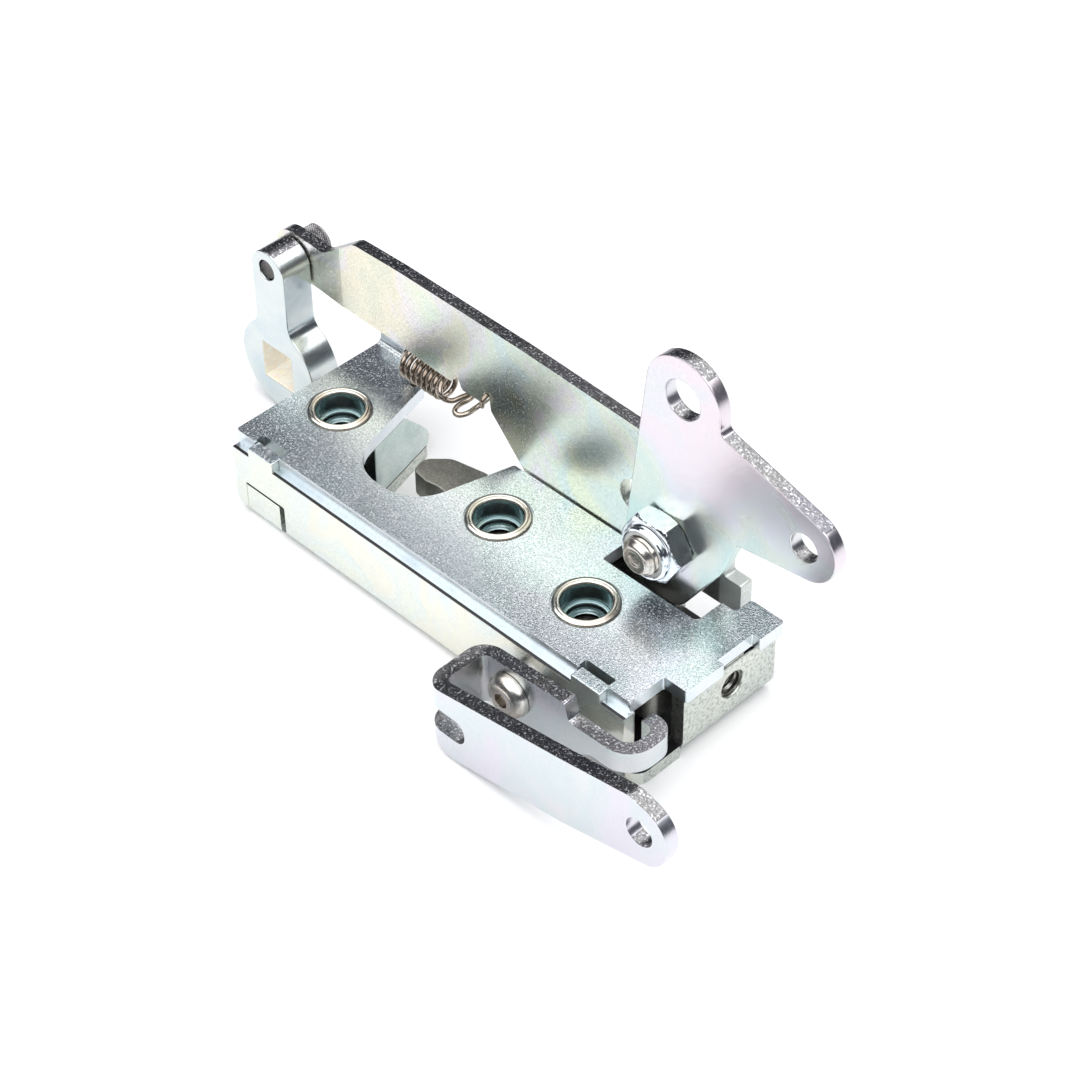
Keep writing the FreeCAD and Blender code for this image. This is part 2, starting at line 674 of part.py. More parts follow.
# the button-head screw that the lever turns on
def lever_screw():
    head_back = INNER_FRONT - PLAY
    head_front = head_back - SCREW_HEAD
    head = disc(SCREW_HEAD_R, SCREW.x, SCREW.z, head_front, head_back, "y")
    head = head.makeFillet(2.3, edges_where(head, lambda c: c.y < head_front + 1e-3))
    shank = disc(SCREW_R, SCREW.x, SCREW.z, head_back, WALL_BACK, "y")
    reach = SOCKET / 2 / math.cos(math.pi / 6)
    corners = []
    for i in range(6):
        turn = math.pi * (i + 0.5) / 3
        corners.append((SCREW.x + reach * math.cos(turn), SCREW.z + reach * math.sin(turn)))
    return head.fuse(shank).removeSplitter().cut(slab(corners, head_front, head_front + 1.7, "y"))


# the collar on the screw between the lever and the wall
def lever_bush():
    return ring(SCREW_R + 2.0, SCREW_R + SEAT, SCREW.x, SCREW.z, INNER_BACK + PLAY, WALL_FRONT, "y")


def spring_anchor():
    return V(15.3, 34.4, FACE_TOP)


# points and directions along the spring's wire: a hook that drops into the face plate,
# the coil, and a long end that is bent into two open loops and passes through the
# link's notch
def spring_stations():
    anchor = spring_anchor()
    left = [
        anchor + V(0, 0, -1.9),
        anchor + V(-0.3, 0, 0.3),
        anchor + V(-1.9, -0.1, 1.7),
        anchor + V(-3.1, 0.0, 3.7),
        anchor + V(-3.1, 0.8, 6.0),
        anchor + V(-2.0, 1.7, 7.8),
    ]
    coil = []
    for i in range(4 * COIL_TURNS + 1):
        turn = math.pi / 2 * i
        point = COIL_START + V(COIL_PITCH * i / 4, -COIL_R * math.sin(turn), COIL_R * math.cos(turn))
        ahead = V(COIL_PITCH / (2 * math.pi), -COIL_R * math.cos(turn), -COIL_R * math.sin(turn))
        coil.append((point, ahead.normalize()))
    last = coil[-1][0]
    middle = (LINK_FRONT + LINK_BACK) / 2
    notch = V(LINK_NOTCH.x - 0.7 + WIRE / 2 + 0.05, middle, LINK_NOTCH.z - WIRE / 2 - 0.1)
    right = [
        last + V(0.7, -2.7, -1.7),
        last + V(2.2, -1.7, -3.7),
        last + V(4.1, 0.8, -2.9),
        last + V(5.2, 2.4, -2.0),
        last + V(6.3, 0.7, -1.9),
        last + V(6.1, -3.3, -2.2),
        last + V(7.4, -4.6, -2.4),
        last + V(8.7, -3.3, -2.4),
        last + V(9.3, -0.5, -1.8),
        last + V(10.5, 1.8, 0.1),
        V(notch.x - 1.9, LINK_BACK + 1.9, notch.z - 2.2),
        V(notch.x - 0.4, LINK_BACK + 1.3, notch.z - 0.2),
        notch,
        V(notch.x, LINK_FRONT - 0.7, notch.z - 0.6),
        V(notch.x, LINK_FRONT - 1.3, notch.z - 2.3),
    ]
    stations = []
    before = left + [coil[0][0]]
    for i, point in enumerate(left):
        start = left[max(i - 1, 0)]
        stations.append((point, (before[i + 1] - start).normalize()))
    stations += coil
    after = [last] + right
    for i, point in enumerate(right):
        end = right[min(i + 1, len(right) - 1)]
        stations.append((point, (end - after[i]).normalize()))
    return stations


# the arc that leaves one point in a given direction and ends at another point
def arc_from(start, ahead, end):
    chord = end - start
    side = chord - ahead * chord.dot(ahead)
    if side.Length < 1e-4:
        return Part.LineSegment(start, end).toShape()
    side.normalize()
    radius = chord.Length ** 2 / (2 * chord.dot(side))
    centre = start + side * radius
    middle = centre + ((start - centre) + (end - centre)).normalize() * radius
    return Part.Arc(start, middle, end).toShape()


# two arcs that join two stations smoothly
def biarc(one, two):
    start, ahead = one
    end, onward = two
    chord = end - start
    both = ahead + onward
    spread = 2 * (1 - ahead.dot(onward))
    if spread < 1e-6:
        reach = chord.dot(chord) / (4 * chord.dot(ahead))
    else:
        along = chord.dot(both)
        reach = (math.sqrt(along ** 2 + spread * chord.dot(chord)) - along) / spread
    middle = (start + ahead * reach + end - onward * reach) * 0.5
    first = arc_from(start, ahead, middle)
    second = arc_from(end, onward * -1, middle)
    return [first, second]


def link_spring():
    stations = spring_stations()
    edges = []
    for one, two in zip(stations, stations[1:]):
        edges += biarc(one, two)
    path = Part.Wire(Part.__sortEdges__(edges))
    circle = Part.Circle(stations[0][0], stations[0][1], WIRE / 2).toShape()
    print("spring wire", round(path.Length, 1), "mm, least gap", round(least_gap(path), 2), "mm")
    return path.makePipeShell([Part.Wire([circle])], True, False)


# the least free distance between stretches of the wire that aren't neighbours
def least_gap(path):
    points = path.discretize(Distance=0.25)
    skip = int(4 * WIRE / 0.25)
    least = 1e9
    for i, point in enumerate(points):
        for other in points[i + skip:]:
            least = min(least, (point - other).Length)
    return least - WIRE


PIECES = {
    "face_plate": face_plate(),
    "back_plate": back_plate(),
    "side_wall": side_wall(),
    "mouth_guide": mouth_guide(),
    "mount_bush": bush(MOUNT_BUSH),
    "rotor_bush": bush(ROTOR_BUSH),
    "pawl_bush": bush(PAWL_BUSH),
    "rotor": rotor(),
    "rotor_spacer": spacer(ROTOR_BUSH),
    "rotor_spring": torsion_coil(ROTOR_BUSH),
    "rotor_stop": rotor_stop(),
    "pawl": pawl(),
    "pawl_spacer": spacer(PAWL_BUSH),
    "pawl_spring": torsion_coil(PAWL_BUSH),
    "connecting_link": connecting_link(),
    "link_pin": link_pin(),
    "crank_arm": crank_arm(),
    "link_spring": link_spring(),
    "bell_crank": bell_crank(),
    "pivot_stud": pivot_stud(),
    "stud_washer": stud_washer(),
    "lock_nut": lock_nut(),
    "nut_insert": nut_insert(),
    "release_lever": release_lever(),
    "lever_screw": lever_screw(),
    "lever_bush": lever_bush(),
}

for name, shape in PIECES.items():
    shape.translate(ROTOR_BUSH * -1)
    shape.exportStep("parts/" + name + ".step")
    if len(shape.Solids) != 1 or not shape.isValid():
        print("look at", name, len(shape.Solids), shape.isValid())
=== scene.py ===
import bpy
import bmesh
import math
import numpy as np
from mathutils import Matrix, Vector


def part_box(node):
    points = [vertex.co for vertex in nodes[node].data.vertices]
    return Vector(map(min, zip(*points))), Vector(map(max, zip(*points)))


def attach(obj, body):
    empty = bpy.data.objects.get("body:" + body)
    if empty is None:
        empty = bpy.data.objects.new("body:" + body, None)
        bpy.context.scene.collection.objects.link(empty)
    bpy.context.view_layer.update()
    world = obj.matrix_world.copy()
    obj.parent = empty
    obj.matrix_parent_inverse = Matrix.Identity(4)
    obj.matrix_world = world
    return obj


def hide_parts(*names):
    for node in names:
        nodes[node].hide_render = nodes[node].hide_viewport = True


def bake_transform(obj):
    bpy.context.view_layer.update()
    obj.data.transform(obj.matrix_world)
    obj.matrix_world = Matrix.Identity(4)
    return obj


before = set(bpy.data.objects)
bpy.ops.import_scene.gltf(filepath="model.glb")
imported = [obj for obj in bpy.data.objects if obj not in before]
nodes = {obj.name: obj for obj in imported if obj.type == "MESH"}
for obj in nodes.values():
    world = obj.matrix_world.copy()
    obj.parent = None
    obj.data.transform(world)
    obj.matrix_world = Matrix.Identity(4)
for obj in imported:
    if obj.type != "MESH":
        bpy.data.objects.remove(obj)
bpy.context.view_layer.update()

mm = 0.001
# a CAD node's mesh is loose triangles, whose corners are merged within this distance
weld = 2e-6
print("frame loaded", len(nodes), "nodes")


# colours and shader nodes

def linear(hexText):
    # sRGB hex to linear: c/12.92 below 0.04045, else ((c+0.055)/1.055)^2.4
    parts = [int(hexText[i:i + 2], 16) / 255 for i in (1, 3, 5)]
    light = [c / 12.92 if c <= 0.04045 else ((c + 0.055) / 1.055) ** 2.4 for c in parts]
    return (*light, 1.0)


def addNode(tree, kind, settings=None, inputs=None, stops=None):
    # one shader node with its settings, its input values or links and, on a colour
    # ramp, its stops as (place, colour)
    node = tree.nodes.new(kind)
    for key, value in (settings or {}).items():
        setattr(node, key, value)
    for key, value in (inputs or {}).items():
        if isinstance(value, bpy.types.NodeSocket):
            tree.links.new(value, node.inputs[key])
        else:
            node.inputs[key].default_value = value
    if stops:
        elements = node.color_ramp.elements
        while len(elements) < len(stops):
            elements.new(0.5)
        for element, (place, colour) in zip(elements, stops):
            element.position = place
            element.color = colour
    return node


def grey(value):
    return (value, value, value, 1.0)


def spread(colours, low=0.3, high=0.7):
    # evenly spaced stops for a list of hex colours between two places of a ramp
    last = max(len(colours) - 1, 1)
    return [(low + (high - low) * i / last, linear(c)) for i, c in enumerate(colours)]


def platedZinc(name, look):
    # passivated zinc plated on pressed or sheared steel: a satin metal with a fine crystalline
    # grain, pale flecks painted as glints for the sparkle of its crystals, and tints that drift
    # slowly over the piece. The grain is really about 0.05 mm and is drawn at the sizes below so
    # that it shows
    material = bpy.data.materials.new(name)
    material.use_nodes = True
    tree = material.node_tree
    shader = tree.nodes["Principled BSDF"]
    place = addNode(tree, "ShaderNodeTexCoord").outputs["Object"]
    drift = addNode(tree, "ShaderNodeTexNoise", None,
                    {"Vector": place, "Scale": 1 / (look["driftMm"] * mm), "Detail": 2.0,
                     "Distortion": 0.5})
    course = drift.outputs["Fac"]
    if "along" in look:
        # the tint also runs from one end of the piece to the other
        axis, start, end = look["along"]
        parts = addNode(tree, "ShaderNodeSeparateXYZ", None, {0: place})
        run = addNode(tree, "ShaderNodeMapRange", None,
                      {"Value": parts.outputs[axis], "From Min": start * mm, "From Max": end * mm,
                       "To Min": -0.2, "To Max": 0.2})
        course = addNode(tree, "ShaderNodeMath", {"operation": "ADD"},
                         {0: course, 1: run.outputs[0]}).outputs[0]
    tint = addNode(tree, "ShaderNodeValToRGB", None, {0: course},
                   spread(look["tints"])).outputs["Color"]
    grainPlace = place
    if "streak" in look:
        # drawn or broached lines: the grain is stretched along the tool's path
        grainPlace = addNode(tree, "ShaderNodeMapping", None,
                             {"Vector": place, "Scale": look["streak"]}).outputs[0]
    grain = addNode(tree, "ShaderNodeTexNoise", None,
                    {"Vector": grainPlace, "Scale": 1 / (look["grainMm"] * mm), "Detail": 2.0,
                     "Roughness": 0.6})
    fleck = addNode(tree, "ShaderNodeTexNoise", None,
                    {"Vector": place, "Scale": 1 / (look["fleckMm"] * mm), "Detail": 2.0,
                     "Roughness": 0.5})
    # the ramps between metal and spot are a little wide, soft as a crystal's edge
    soft = 0.12
    dark = addNode(tree, "ShaderNodeValToRGB", None, {0: grain.outputs["Fac"]},
                   [(look["darkFrom"] - soft, grey(1 - look["dark"])),
                    (look["darkFrom"] + soft, grey(1.0))])
    toned = addNode(tree, "ShaderNodeMix", {"data_type": "RGBA", "blend_type": "MULTIPLY"},
                    {"Factor": 1.0, 6: tint, 7: dark.outputs["Color"]}).outputs[2]
    # painted glints: the flecks are pale and duller than the metal, so they show where it mirrors
    # the dark
    light = addNode(tree, "ShaderNodeValToRGB", None, {0: fleck.outputs["Fac"]},
                    [(look["fleckFrom"], grey(0.0)),
                     (look["fleckFrom"] + soft, grey(look["flecks"]))])
    metal = look.get("metal", 1.0)
    dull = addNode(tree, "ShaderNodeMapRange", None,
                   {"Value": light.outputs["Color"], "To Min": metal, "To Max": metal * 0.5})
    bright = addNode(tree, "ShaderNodeMix", {"data_type": "RGBA", "blend_type": "MIX"},
                     {"Factor": light.outputs["Color"], 6: toned, 7: linear("#f6f8f8")}).outputs[2]
    rough = addNode(tree, "ShaderNodeMapRange", None,
                    {"Value": drift.outputs["Fac"], "From Min": 0.3, "From Max": 0.7,
                     "To Min": look["rough"] + 0.04, "To Max": look["rough"] - 0.04})
    bump = addNode(tree, "ShaderNodeBump", None,
                   {"Strength": look["bump"], "Distance": 0.12 * mm,
                    "Height": grain.outputs["Fac"]})
    tree.links.new(bright, shader.inputs["Base Color"])
    tree.links.new(rough.outputs[0], shader.inputs["Roughness"])
    tree.links.new(bump.outputs["Normal"], shader.inputs["Normal"])
    tree.links.new(dull.outputs[0], shader.inputs["Metallic"])
    return material


def turnedSteel(name, look):
    # steel turned on a lathe: rings of fine tool marks round the axis through a centre,
    # 0.1 mm apart on the real one and drawn at ringMm so that they show
    material = bpy.data.materials.new(name)
    material.use_nodes = True
    tree = material.node_tree
    shader = tree.nodes["Principled BSDF"]
    place = addNode(tree, "ShaderNodeTexCoord").outputs["Object"]
    centred = addNode(tree, "ShaderNodeMapping", None,
                      {"Vector": place, "Location": tuple(-c for c in look["centre"])}).outputs[0]
    # a ring wave of scale 1 repeats every 0.314 units
    wavePeriod = 0.314
    rings = addNode(tree, "ShaderNodeTexWave",
                    {"wave_type": "RINGS", "rings_direction": look["axis"].upper(),
                     "wave_profile": "SIN"},
                    {"Vector": centred, "Scale": wavePeriod / (look["ringMm"] * mm),
                     "Distortion": 1.5, "Detail": 2.0, "Detail Scale": 1.5})
    cloud = addNode(tree, "ShaderNodeTexNoise", None,
                    {"Vector": centred, "Scale": 1 / (look["cloudMm"] * mm), "Detail": 3.0})
    tint = addNode(tree, "ShaderNodeValToRGB", None, {0: cloud.outputs["Fac"]},
                   spread(look["tints"]))
    mark = addNode(tree, "ShaderNodeValToRGB", None, {0: rings.outputs["Fac"]},
                   [(0.1, grey(1 - look["marks"])), (0.6, grey(1.0))])
    toned = addNode(tree, "ShaderNodeMix", {"data_type": "RGBA", "blend_type": "MULTIPLY"},
                    {"Factor": 1.0, 6: tint.outputs["Color"], 7: mark.outputs["Color"]}).outputs[2]
    rough = addNode(tree, "ShaderNodeMapRange", None,
                    {"Value": cloud.outputs["Fac"], "From Min": 0.3, "From Max": 0.7,
                     "To Min": look["rough"] + 0.05, "To Max": look["rough"] - 0.05})
    bump = addNode(tree, "ShaderNodeBump", None,
                   {"Strength": look["bump"], "Distance": 0.03 * mm,
                    "Height": rings.outputs["Fac"]})
    tree.links.new(toned, shader.inputs["Base Color"])
    tree.links.new(rough.outputs[0], shader.inputs["Roughness"])
    tree.links.new(bump.outputs["Normal"], shader.inputs["Normal"])
    shader.inputs["Metallic"].default_value = look.get("metal", 1.0)
    return material


# surfaces

def meshPiece(name, body, mesh, materials):
    # one finished object at the origin, in metres, that rides on a body
    piece = bpy.data.objects.new(name, mesh)
    bpy.context.scene.collection.objects.link(piece)
    for material in materials:
        mesh.materials.append(material)
    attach(piece, body)
    return piece


def turnedPiece(name, body, centre, axis, rows, look, materials, sides=96):
    # a profile turned about an axis. A row is (radius, height, flat): the surface is at
    # (radius cos a, radius sin a, height), and where flat is given the radius is held
    # inside a hexagon, min(radius, flat / cos(a mod 60 - 30)). A thread moves its wall by
    # depth times a triangle wave of height / pitch - a / 360, and a knurl by two crossed
    # triangle waves. The profile is a closed loop, or runs from the axis to the axis. The
    # zones are the radii and heights below which a face takes the next material
    full = [(*row, 0)[:3] for row in rows]
    looped = full[0][0] > 0
    pairs = list(zip(full, full[1:] + full[:1] if looped else full[1:]))
    fine = []
    for (r0, h0, f0), (r1, h1, f1) in pairs:
        count = max(1, int(round(math.hypot(r1 - r0, h1 - h0) / look.get("step", 50.0))))
        for i in range(count):
            part = i / count
            fine.append((r0 + (r1 - r0) * part, h0 + (h1 - h0) * part, max(f0, f1)))
    if not looped:
        fine.append(full[-1])
    radius, height, flat = (np.array(column, dtype=float)[:, None] for column in zip(*fine))
    angle = (np.arange(sides) * 2 * math.pi / sides)[None, :]
    sixth = math.pi / 3
    noFlat = 1000.0
    hexagon = np.where(flat > 0, flat, noFlat) / np.cos(np.mod(angle, sixth) - sixth / 2)
    reach = np.minimum(radius + 0 * angle, hexagon)
    for cut in look.get("cuts", []):
        level = (height >= cut["low"]) & (height <= cut["high"])
        wall = (np.abs(radius - cut["radius"]) < 1e-3) & level
        fade = np.clip(np.minimum(height - cut["low"], cut["high"] - height) / cut["pitch"], 0, 1)
        phase = height / cut["pitch"]
        turns = angle * cut["starts"] / (2 * math.pi)
        wave = 1 - 2 * np.abs(np.mod(phase - turns, 1) - 0.5)
        if cut.get("crossed"):
            wave = np.minimum(wave, 1 - 2 * np.abs(np.mod(phase + turns, 1) - 0.5))
        reach = reach + np.where(wall, cut["depth"] * fade * wave, 0)
    across = reach * np.cos(angle)
    beside = reach * np.sin(angle)
    along = height + 0 * angle
    order = {"z": (across, beside, along), "y": (across, along, -beside),
             "x": (along, across, beside)}[axis]
    points = np.stack(order, axis=-1) * mm + np.array(centre)[None, None, :]
    count = len(points)
    row = np.arange(count if looped else count - 1)[:, None]
    column = np.arange(sides)[None, :]
    beyond = (column + 1) % sides
    below = (row + 1) % count
    quads = np.stack([row * sides + column, row * sides + beyond,
                      below * sides + beyond, below * sides + column], axis=-1).reshape(-1, 4)
    inner = np.zeros(len(row), dtype=int)
    for zoneRadius, zoneHeight in look.get("zones", []):
        level = np.stack([height[row[:, 0], 0], height[below[:, 0], 0]]).max(axis=0)
        reachOut = np.stack([radius[row[:, 0], 0], radius[below[:, 0], 0]]).max(axis=0)
        inner += (reachOut < zoneRadius) & (level < zoneHeight)
    mesh = bpy.data.meshes.new(name)
    mesh.from_pydata(points.reshape(-1, 3), [], quads)
    mesh.polygons.foreach_set("material_index", np.repeat(inner, sides))
    shell = bmesh.new()
    shell.from_mesh(mesh)
    bmesh.ops.remove_doubles(shell, verts=shell.verts, dist=1e-7)
    bmesh.ops.recalc_face_normals(shell, faces=shell.faces)
    shell.to_mesh(mesh)
    shell.free()
    mesh.shade_smooth()
    mesh.set_sharp_from_angle(angle=look.get("crease", 0.6))
    return meshPiece(name, body, mesh, materials)


def easedSheet(node, body, look, materials, choose=None):
    # a copy of a sheet node with its corners eased by a small round, as tumbling and plating
    # leave them. A line, (axis, millimetres), parts its faces where the finish or the painted
    # shade changes. Each face takes the material that choose names from its centre in
    # millimetres and its normal
    mesh = nodes[node].data.copy()
    mesh.materials.clear()
    shell = bmesh.new()
    shell.from_mesh(mesh)
    bmesh.ops.remove_doubles(shell, verts=shell.verts, dist=weld)
    bmesh.ops.dissolve_limit(shell, angle_limit=0.004, verts=shell.verts, edges=shell.edges)
    if "line" in look:
        axis, place = look["line"]
        across = np.eye(3)[axis]
        bmesh.ops.bisect_plane(shell, geom=shell.verts[:] + shell.edges[:] + shell.faces[:],
                               plane_co=tuple(across * place * mm), plane_no=tuple(across))
    if "tapped" in look:
        # room for a thread: the hole's wall goes out from its minor to its major radius
        hole = look["tapped"]
        for v in shell.verts:
            y, z = v.co.y / mm - hole["y"], v.co.z / mm - hole["z"]
            away = math.hypot(y, z)
            if v.co.x / mm > hole["from"] and abs(away - hole["minor"]) < 0.05:
                v.co.y = mm * (hole["y"] + y * hole["major"] / away)
                v.co.z = mm * (hole["z"] + z * hole["major"] / away)
    # corners that turn by more than 0.7 radians are eased
    sharp = 0.7
    corners = [e for e in shell.edges if e.is_manifold and e.calc_face_angle(0) > sharp]
    bmesh.ops.bevel(shell, geom=corners, offset=look["round"] * mm, segments=2, profile=0.5,
                    affect="EDGES", clamp_overlap=True)
    if choose:
        for part in shell.faces:
            part.material_index = choose(part.calc_center_median() / mm, part.normal)
    shell.to_mesh(mesh)
    shell.free()
    mesh.shade_smooth()
    piece = meshPiece(node + "_eased", body, mesh, materials)
    weighted = piece.modifiers.new("even shading", "WEIGHTED_NORMAL")
    weighted.weight = 80
    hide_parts(node)


def centreOf(node):
    low, high = (np.array(corner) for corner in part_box(node))
    return (low + high) / 2


# rolled and plated sheets

# bluish satin with a dark grain and pale flecks, on the flat of the face plate
facePlateLook = {"driftMm": 30, "grainMm": 0.34, "fleckMm": 0.42, "dark": 0.45, "darkFrom": 0.48,
                 "flecks": 0.75, "fleckFrom": 0.53, "rough": 0.27, "bump": 0.3, "round": 0.28,
                 "tints": ["#d9e8ee", "#e3ecf3", "#deecee", "#e7ebf3", "#dbeaed"]}
# sheared edges that face upwards, flecked, in darker tints: painted shade for the dark room they
# mirror
shadedTopEdgeLook = {"driftMm": 20, "grainMm": 0.30, "fleckMm": 0.45, "dark": 0.5, "darkFrom": 0.5,
               "flecks": 0.62, "fleckFrom": 0.55, "rough": 0.24, "bump": 0.3,
               "tints": ["#8b8a91", "#979595", "#908f97"]}
# edges that show bright and smooth: the face plate's rim and the wall's ledge
sideEdgeLook = {"driftMm": 14, "grainMm": 0.5, "fleckMm": 0.8, "dark": 0.06, "darkFrom": 0.45,
                "flecks": 0.1, "fleckFrom": 0.6, "rough": 0.28, "bump": 0.1,
                "tints": ["#d2dbe0", "#dde3e7", "#d6dee0"]}
# the back plate is duller, with a coarse and cloudy grain
backPlateLook = {"driftMm": 25, "grainMm": 0.7, "fleckMm": 0.8, "dark": 0.42, "darkFrom": 0.43,
                 "flecks": 0.3, "fleckFrom": 0.58, "rough": 0.34, "bump": 0.4, "round": 0.3,
                 "line": (0, 42.6),
                 "tapped": {"from": 50, "y": 5.0, "z": 9.95, "minor": 2.5, "major": 3.0},
                 "tints": ["#c4cbc6", "#cacfc9", "#d4d7cf"]}
# painted shade: zinc made near-black and dull between the plates and along the ledge's front
shadeFillLook = {"driftMm": 12, "grainMm": 1.5, "fleckMm": 2.0, "dark": 0.3, "darkFrom": 0.5,
              "flecks": 0.0, "fleckFrom": 0.6, "rough": 0.35, "bump": 0.1, "metal": 0.2,
              "tints": ["#1d1b1e", "#262326"]}
# the side wall is pale and nearly smooth, and drifts from bluish to straw
sideWallLook = {"driftMm": 18, "grainMm": 0.45, "fleckMm": 0.9, "dark": 0.08, "darkFrom": 0.45,
                "flecks": 0.2, "fleckFrom": 0.6, "rough": 0.28, "bump": 0.15, "round": 0.3,
                "metal": 0.8, "line": (1, -19.3),
                "tints": ["#d8e1e3", "#dfe2d8", "#d9e0dd", "#e2e0d4", "#d6dfe0"]}
# the mouth's guide is greenish
guideLook = {"driftMm": 9, "grainMm": 0.5, "fleckMm": 0.9, "dark": 0.15, "darkFrom": 0.45,
             "flecks": 0.2, "fleckFrom": 0.6, "rough": 0.22, "bump": 0.25, "round": 0.3,
             "tints": ["#b3c3bf", "#c2cfcb", "#d2dbd6"]}
# the link is iridescent, and its tints run along it
linkLook = {"driftMm": 17, "grainMm": 0.42, "fleckMm": 0.36, "dark": 0.16, "darkFrom": 0.45,
            "flecks": 0.62, "fleckFrom": 0.54, "rough": 0.26, "bump": 0.2, "round": 0.3,
            "along": (0, -78, 45),
            "tints": ["#d9d8c6", "#e2dcc8", "#dfd9da", "#dbe0cd", "#d0dbd6", "#d3dbd2", "#dcdfc6"]}
# the bell crank runs from greenish at its foot to a pale pink
bellCrankLook = {"driftMm": 20, "grainMm": 0.5, "fleckMm": 0.8, "dark": 0.05, "darkFrom": 0.45,
                 "flecks": 0.25, "fleckFrom": 0.6, "rough": 0.26, "bump": 0.1, "round": 0.3,
                 "along": (2, 20, 75),
                 "tints": ["#c4d6d1", "#d3d7ce", "#d4d4d9", "#dbd1d7", "#d7d1d8"]}
# the release lever is a pale lilac
leverLook = {"driftMm": 20, "grainMm": 0.5, "fleckMm": 0.8, "dark": 0.06, "darkFrom": 0.45,
             "flecks": 0.25, "fleckFrom": 0.6, "rough": 0.25, "bump": 0.1, "round": 0.35,
             "tints": ["#cccdd6", "#d3d0d9", "#c9d2d4", "#d6d3d5"]}
# the crank is cut from bar, smooth and bright
crankLook = {"driftMm": 10, "grainMm": 0.6, "fleckMm": 0.9, "dark": 0.05, "darkFrom": 0.45,
             "flecks": 0.2, "fleckFrom": 0.62, "rough": 0.22, "bump": 0.1, "round": 0.3,
             "tints": ["#cad2d4", "#d2d8d7", "#c4d0d4"]}
# the square hole's broached walls: streaked, near-white and hardly metallic, a painted highlight
holeHighlightLook = {"driftMm": 3, "grainMm": 0.4, "fleckMm": 0.9, "dark": 0.1, "darkFrom": 0.45,
                "flecks": 0.3, "fleckFrom": 0.6, "rough": 0.4, "bump": 0.2, "metal": 0.15,
                "streak": (1.0, 0.12, 1.0),
                "tints": ["#fff8d6", "#fffdf0", "#fdf3e4", "#fffef8", "#fff5c8"]}
# claw and pawl are of phosphated steel, matt and grey
rotorLook = {"driftMm": 9, "grainMm": 0.4, "fleckMm": 0.8, "dark": 0.25, "darkFrom": 0.5,
             "flecks": 0.15, "fleckFrom": 0.6, "rough": 0.42, "bump": 0.3, "round": 0.3,
             "tints": ["#93938d", "#a3a39c", "#aeb0a6"]}

shadedTopEdge = platedZinc("shearedZincEdgePaintedShade", shadedTopEdgeLook)
sideEdge = platedZinc("brightZincEdge", sideEdgeLook)
shadeFill = platedZinc("paintedShadeInnerPanel", shadeFillLook)
wallZinc = platedZinc("paleYellowZincStrip", sideWallLook)
panelZinc = platedZinc("bluePassivatedZincPanel", facePlateLook)
# where finish and painted light change, in millimetres: the floor between the plates and
# the face plate's underside (painted shade), the side wall's ledge, the crank's square hole
levels = {"floor": 2.5, "gapTop": 15.9, "ledge": 16.6, "lugFront": 15, "stepLow": 12, "front": -18}
squareHole = {"x": -72.4, "z": 11.7, "half": 4.7}
# a face whose normal has at least this much of an axis faces that way
facing = 0.9


# faces that face upwards take the darker edge tints: painted shade on the tops
def upwardEdge(centre, normal):
    return 1 if normal.z > 0.8 else 0


def sideWallFace(centre, normal):
    # the ledge beside the face plate is bright, and its sheared front edge is painted dark, a
    # painted shadow line under the face plate's rim. The tabs' tops are as grainy as the face
    # plate
    if normal.z < 0.55:
        return 0
    if centre.z > levels["ledge"]:
        return 1
    return 2 if centre.y > sideWallLook["line"][1] else 3


def facePlateFace(centre, normal):
    # the underside between the two plates, in painted shade, and the upright edges
    if normal.z < -facing and centre.z < levels["ledge"]:
        return 1
    return 2 if abs(normal.z) < 0.5 else 0


def backPlateFace(centre, normal):
    # the lug's step at the right, the floor between the two plates and the lug's foot, in
    # painted shade, then the front tab and the lug
    behind = centre.y > levels["lugFront"]
    if centre.x > backPlateLook["line"][1] and behind and centre.z > levels["stepLow"]:
        return 3
    low = centre.z < levels["gapTop"]
    floorFace = normal.z > facing and centre.z > levels["floor"]
    if low and (floorFace or normal.y < -facing and behind):
        return 1
    return 2 if centre.y < levels["front"] or centre.z > levels["gapTop"] else 0


def crankFace(centre, normal):
    # the crank's top, in painted shade, and the four walls of its square hole, in painted
    # highlight
    away = max(abs(centre.x - squareHole["x"]), abs(centre.z - squareHole["z"]))
    if away < squareHole["half"] and abs(normal.y) < facing:
        return 2
    return 1 if normal.z > facing else 0


easedSheet("face_plate", "housing", facePlateLook,
           [panelZinc, shadeFill, sideEdge], facePlateFace)
easedSheet("back_plate", "housing", backPlateLook,
           [platedZinc("dullZincPanel", backPlateLook), shadeFill, wallZinc,
            platedZinc("cloudyZincStep", dict(sideWallLook, metal=0.35))], backPlateFace)
easedSheet("side_wall", "housing", sideWallLook,
           [wallZinc, panelZinc, sideEdge, shadeFill], sideWallFace)
easedSheet("mouth_guide", "housing", guideLook, [platedZinc("greenishZincStrip", guideLook)])
easedSheet("connecting_link", "link", linkLook,
           [platedZinc("iridescentZincStrip", linkLook), shadedTopEdge], upwardEdge)
easedSheet("bell_crank", "bell_crank", bellCrankLook,
           [platedZinc("palePinkZincPanel", bellCrankLook), shadedTopEdge], upwardEdge)
easedSheet("release_lever", "release_lever", leverLook,
           [platedZinc("lilacZincStrip", leverLook), shadedTopEdge], upwardEdge)
easedSheet("crank_arm", "crank", crankLook,
           [platedZinc("smoothZincBar", crankLook), shadedTopEdge,
            platedZinc("broachedHolePaintedHighlight", holeHighlightLook)], crankFace)
easedSheet("rotor", "rotor", rotorLook, [platedZinc("phosphatedSteelClaw", rotorLook)])
easedSheet("pawl", "pawl", rotorLook, [platedZinc("phosphatedSteelPawl", rotorLook)])
print("sheets done")

# the M6 thread in the end flange, a ring in the room that its widened hole leaves

